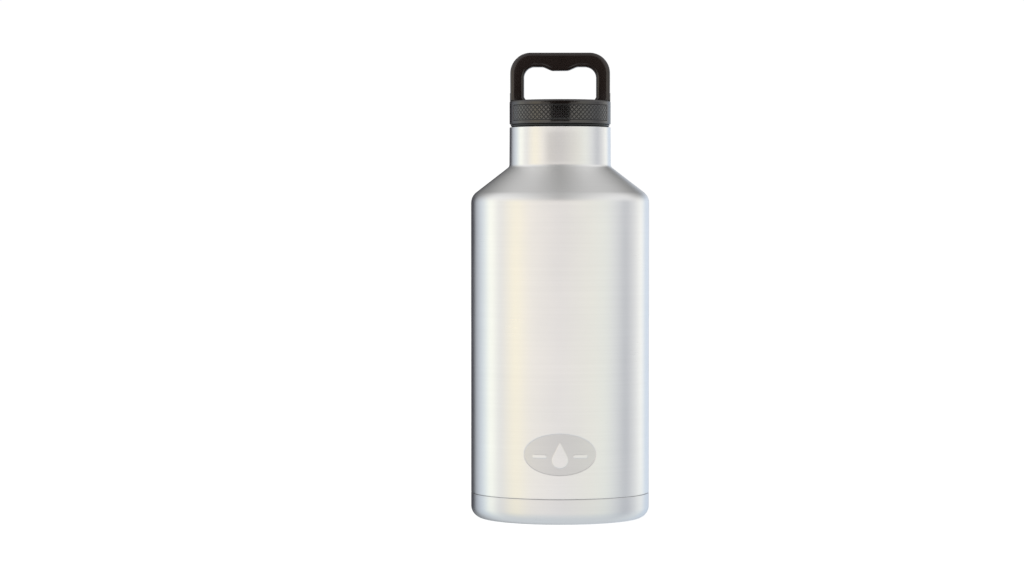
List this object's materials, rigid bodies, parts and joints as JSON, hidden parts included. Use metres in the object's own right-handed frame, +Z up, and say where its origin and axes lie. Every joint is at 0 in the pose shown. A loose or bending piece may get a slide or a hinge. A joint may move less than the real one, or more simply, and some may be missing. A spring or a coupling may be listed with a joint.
{
  "type": "vacuum growler",
  "caption": "Tall double-walled vacuum flask for draught beer: cylindrical body, conical shoulder, narrow neck, and a black screw lid with a fixed loop handle.",
  "frame": {"origin": "centre of the base, on the surface that the flask stands on", "axes": "+Z up along the flask's axis, -Y to the front, and the closed lid's handle spans X"},
  "size_m": [0.118, 0.118, 0.308],
  "materials": {
    "brushed_steel": "fine circumferential brushing, clear and bright",
    "base_disc_steel": "spun satin",
    "inner_steel": "electropolished satin",
    "copper_foil": "bright copper foil",
    "sealing_glass": "fused grey-green glass bead",
    "getter_alloy": "pressed powder",
    "black_rubber": "smooth moulded silicone",
    "gloss_black_plastic": "gloss moulded",
    "satin_black_plastic": "fine spark-eroded satin",
    "knurled_black_plastic": "satin with moulded diamond knurl",
    "insulating_foam": "rigid foam"
  },
  "bodies": {
    "bottle": {"outer_shell": "brushed_steel", "base_cup": "brushed_steel", "base_cover": "base_disc_steel", "vacuum_seal": "sealing_glass", "inner_liner": "inner_steel", "liner_bottom": "inner_steel", "heat_shield_foil": "copper_foil", "getter_holder": "inner_steel", "getter_pellet": "getter_alloy", "mouth_ring": "black_rubber"},
    "seal": {"lid_seal": "black_rubber"},
    "lid": {"threaded_plug": "gloss_black_plastic", "plug_end_cap": "gloss_black_plastic", "foam_core": "insulating_foam", "cap_shell": "satin_black_plastic", "grip_panel_front": "knurled_black_plastic", "grip_panel_rear": "knurled_black_plastic", "carry_handle": "satin_black_plastic"}
  },
  "joints": [
    {"name": "lid_lift", "type": "slide", "parent": "bottle", "child": "seal", "axis": [0, 0, 1], "range_m": [0, 0.049]},
    {"name": "lid_turn", "type": "hinge", "parent": "seal", "child": "lid", "pos_m": [0, 0, 0.26], "axis": [0, 0, 1], "range_deg": [0, 4410]}
  ],
  "couplings": [
    {"joint": "lid_lift", "follows": "lid_turn", "m_per_rad": 0.00063662}
  ]
}
